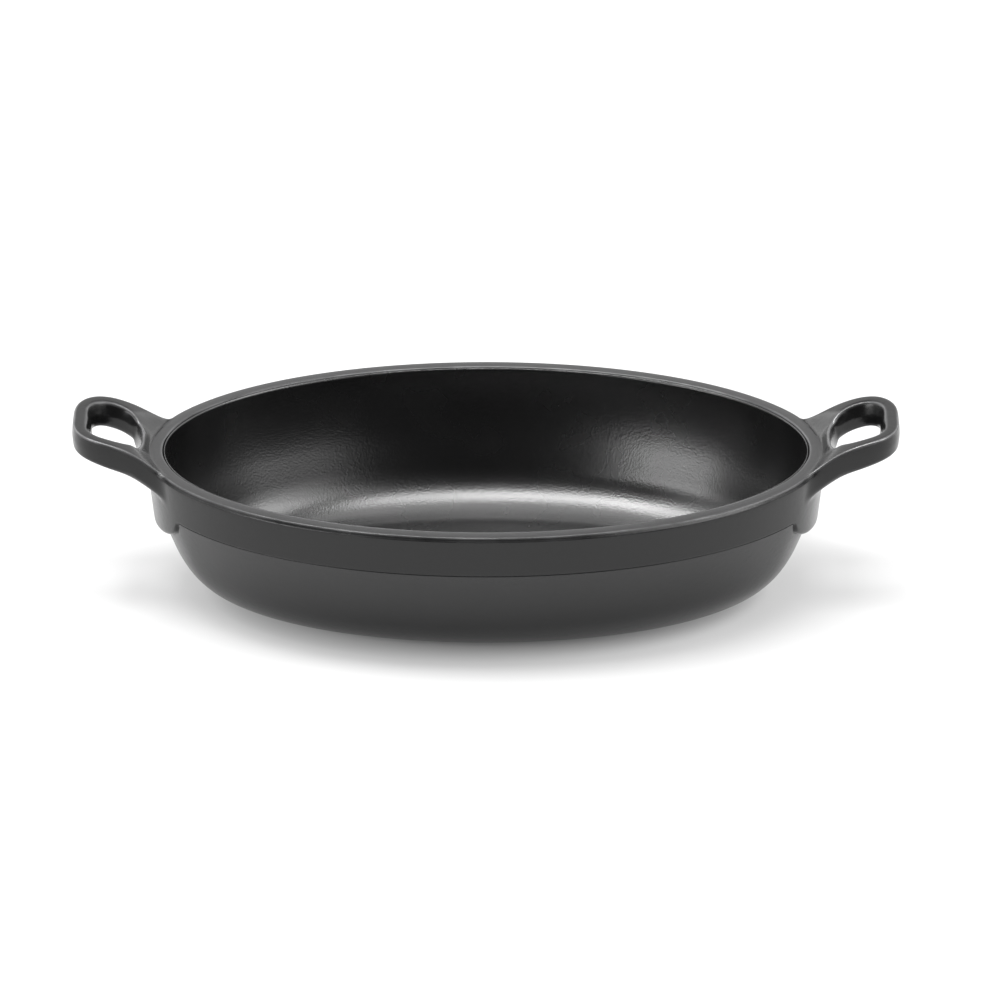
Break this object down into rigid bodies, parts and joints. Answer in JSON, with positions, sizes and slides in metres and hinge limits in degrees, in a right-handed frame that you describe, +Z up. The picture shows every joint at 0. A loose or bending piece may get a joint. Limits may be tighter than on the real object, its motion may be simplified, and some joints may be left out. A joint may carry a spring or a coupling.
{
  "type": "oval pan",
  "caption": "Oval cast pan with a flat base, a sloping wall, a raised rim band, a loop handle at each end and a dark coated inside, for baking and serving.",
  "frame": {"origin": "middle of the base, on the surface that the pan stands on", "axes": "+X along the pan's length to the right handle, +Y across it to the far side, +Z up"},
  "size_m": [0.34, 0.1834, 0.076],
  "materials": {
    "cast_surface": "satin, fine cast texture, worn bright along the edges",
    "inner_coat": "semi-gloss, fine orange-peel texture"
  },
  "bodies": {
    "root": {"bowl_base": "cast_surface", "bowl_wall": "cast_surface", "rim_band": "cast_surface", "handle_left": "cast_surface", "handle_right": "cast_surface", "handle_support_left": "cast_surface", "handle_support_right": "cast_surface", "inner_coating": "inner_coat"}
  },
  "joints": []
}
